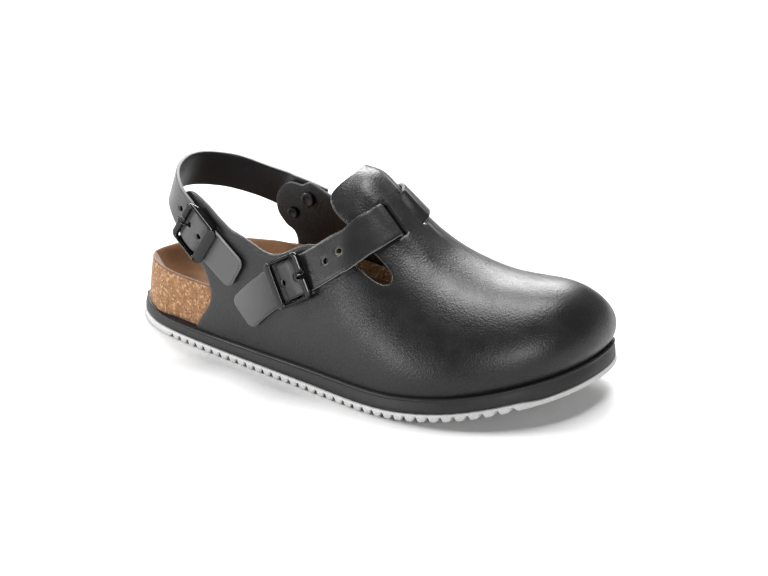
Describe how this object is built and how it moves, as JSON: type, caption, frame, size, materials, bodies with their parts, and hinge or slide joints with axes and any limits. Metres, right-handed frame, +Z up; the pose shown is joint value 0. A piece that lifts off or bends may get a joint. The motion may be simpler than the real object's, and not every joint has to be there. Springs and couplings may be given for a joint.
{
  "type": "chef clog",
  "caption": "Closed-toe leather work clog for the right foot: cork footbed on a ribbed sole, strap across the instep, strap round the heel, frame buckles.",
  "frame": {"origin": "centre of the outline of the sole, on the floor it stands on", "axes": "+X towards the toe, +Y towards the inner (medial) side, +Z up"},
  "size_m": [0.28, 0.112, 0.1102],
  "materials": {
    "outsole": "pale grey ribbed rubber",
    "midsole": "matt black foam",
    "footbed": "granular cork",
    "footbed_lining": "tan brown suede",
    "upper": "satin black leather",
    "instep_strap": "satin black leather",
    "instep_buckle": "gloss black",
    "instep_prong": "gloss black",
    "heel_strap": "satin black leather",
    "heel_buckle": "gloss black",
    "heel_prong": "gloss black",
    "rivet_high": "dark metal",
    "rivet_low": "dark metal"
  },
  "bodies": {
    "root": {"outsole": "outsole", "midsole": "midsole", "footbed": "footbed", "footbed_lining": "footbed_lining", "upper": "upper", "instep_strap": "instep_strap", "instep_buckle": "instep_buckle", "instep_prong": "instep_prong", "heel_strap": "heel_strap", "heel_buckle": "heel_buckle", "heel_prong": "heel_prong", "rivet_high": "rivet_high", "rivet_low": "rivet_low"}
  },
  "joints": []
}
